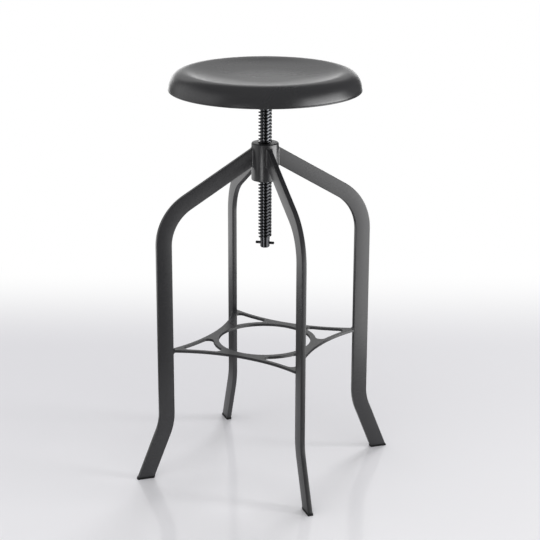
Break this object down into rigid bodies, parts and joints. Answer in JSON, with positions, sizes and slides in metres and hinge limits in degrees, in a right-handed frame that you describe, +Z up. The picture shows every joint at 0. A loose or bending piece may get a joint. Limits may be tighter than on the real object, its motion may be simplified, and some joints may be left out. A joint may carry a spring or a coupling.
{
  "type": "bar stool",
  "caption": "Bar stool with a round dished metal seat that screws up and down on a threaded spindle, bent flat-bar legs and a pierced plate footrest.",
  "frame": {"origin": "on the floor, under the spindle's axis", "axes": "+Z up along the spindle; the legs stand on +X, +Y, -X and -Y"},
  "size_m": [0.4976, 0.4976, 0.746],
  "materials": {
    "powder_coat": "satin anthracite powder coat on steel",
    "black_steel": "glossy blackened steel screw",
    "zinc_steel": "zinc plated steel fasteners",
    "bronze": "plain bronze thread insert",
    "rubber": "matt black rubber",
    "glide": "matt black plastic"
  },
  "bodies": {
    "frame": {"collar": "powder_coat", "thread_insert": "bronze", "leg_right": "powder_coat", "leg_back": "powder_coat", "leg_left": "powder_coat", "leg_front": "powder_coat", "collar_weld_right": "powder_coat", "collar_weld_back": "powder_coat", "collar_weld_left": "powder_coat", "collar_weld_front": "powder_coat", "footrest": "powder_coat", "footrest_weld_right": "powder_coat", "footrest_weld_back": "powder_coat", "footrest_weld_left": "powder_coat", "footrest_weld_front": "powder_coat", "glide_right": "glide", "glide_back": "glide", "glide_left": "glide", "glide_front": "glide"},
    "buffer": {"buffer_ring": "rubber"},
    "seat": {"seat_pan": "powder_coat", "seat_studs": "zinc_steel", "stud_washers": "zinc_steel", "stud_nuts": "zinc_steel", "mounting_plate": "powder_coat", "spindle": "black_steel", "spindle_weld": "powder_coat", "stop_pin": "black_steel"}
  },
  "joints": [
    {"name": "seat_lift", "type": "slide", "parent": "frame", "child": "buffer", "axis": [0, 0, 1], "range_m": [-0.0941, 0.1141]},
    {"name": "seat_turn", "type": "hinge", "parent": "buffer", "child": "seat", "pos_m": [0, 0, 0.6], "axis": [0, 0, 1], "range_deg": [-5640, 6840]}
  ],
  "couplings": [
    {"joint": "seat_lift", "follows": "seat_turn", "m_per_rad": 0.00095493}
  ]
}
